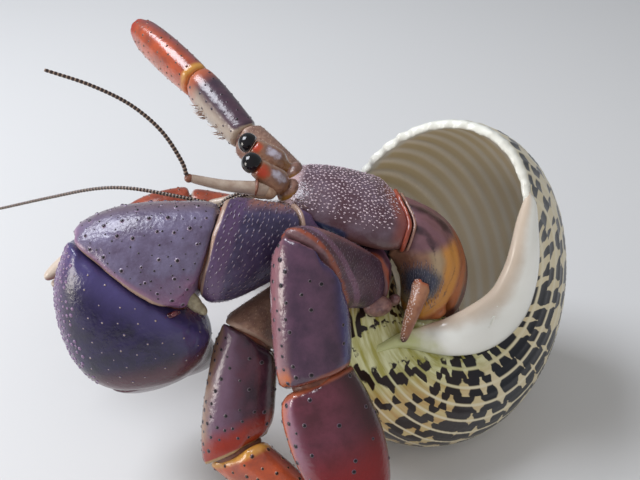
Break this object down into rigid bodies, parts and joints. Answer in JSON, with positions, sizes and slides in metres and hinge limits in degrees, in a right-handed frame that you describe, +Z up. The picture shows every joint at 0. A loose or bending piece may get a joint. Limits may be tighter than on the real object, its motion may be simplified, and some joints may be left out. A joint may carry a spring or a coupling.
{
  "type": "hermit crab",
  "caption": "Still life-size model of a land hermit crab leaning out of a coiled sea snail shell, with a large violet left claw, jointed legs, eyestalks and long feelers.",
  "frame": {"origin": "centre of the bounding box at the height of the surface that the model stands on", "axes": "+Z up, -X the way the crab faces, -Y the side of its large left claw"},
  "size_m": [0.0988, 0.0986, 0.0653],
  "materials": {
    "shell": "cream with dark brown spiral rows of blotches, glossy white mouth",
    "shield_plate": "hard plate, purple brown with fine pale granules",
    "thorax_skin": "hard side plates, dull blue violet",
    "soft_skin": "soft leathery skin, mauve brown with ochre bands",
    "eyestalk": "smooth cream and brown with a red orange band",
    "cornea": "wet black",
    "antenna_base": "smooth pale pink cream",
    "feeler": "ringed dark and pale",
    "claw_violet": "glossy violet with small pale granules",
    "claw_arm": "lavender grey with dark-tipped tubercles",
    "claw_red": "red orange",
    "leg_purple": "purple maroon with dark spots and orange edges",
    "leg_orange": "orange red with dark spots",
    "small_leg": "rough cream brown"
  },
  "bodies": {
    "root": {"shell": "shell", "shield": "shield_plate", "thorax": "thorax_skin", "posterior_carapace": "soft_skin", "abdomen": "soft_skin", "eyestalk_left": "eyestalk", "eyestalk_right": "eyestalk", "cornea_left": "cornea", "cornea_right": "cornea", "antenna_base_left": "antenna_base", "antenna_base_right": "antenna_base", "antenna_flagellum_left": "feeler", "antenna_flagellum_right": "feeler", "antennule_left": "feeler", "antennule_right": "feeler", "left_claw_palm": "claw_violet", "left_claw_dactyl": "claw_violet", "left_claw_coxa": "claw_arm", "left_claw_merus": "claw_arm", "left_claw_carpus": "claw_arm", "right_claw_coxa": "claw_red", "right_claw_merus": "claw_red", "right_claw_carpus": "claw_red", "right_claw_palm": "claw_red", "right_claw_dactyl": "claw_red", "left_leg_1_coxa": "leg_purple", "left_leg_1_merus": "leg_purple", "left_leg_1_carpus": "leg_purple", "left_leg_2_coxa": "leg_purple", "left_leg_2_merus": "leg_purple", "left_leg_2_carpus": "leg_purple", "left_leg_2_propodus": "leg_purple", "left_leg_2_dactyl": "leg_purple", "right_leg_1_coxa": "leg_purple", "right_leg_1_merus": "leg_purple", "right_leg_1_carpus": "leg_purple", "right_leg_2_coxa": "leg_purple", "right_leg_2_merus": "leg_purple", "right_leg_2_carpus": "leg_purple", "left_leg_1_propodus": "leg_orange", "left_leg_1_dactyl": "leg_orange", "right_leg_1_propodus": "leg_orange", "right_leg_1_dactyl": "leg_orange", "right_leg_2_propodus": "leg_orange", "right_leg_2_dactyl": "leg_orange", "left_leg_3": "small_leg", "right_leg_3": "small_leg", "maxilliped_left": "small_leg", "maxilliped_right": "small_leg"}
  },
  "joints": []
}
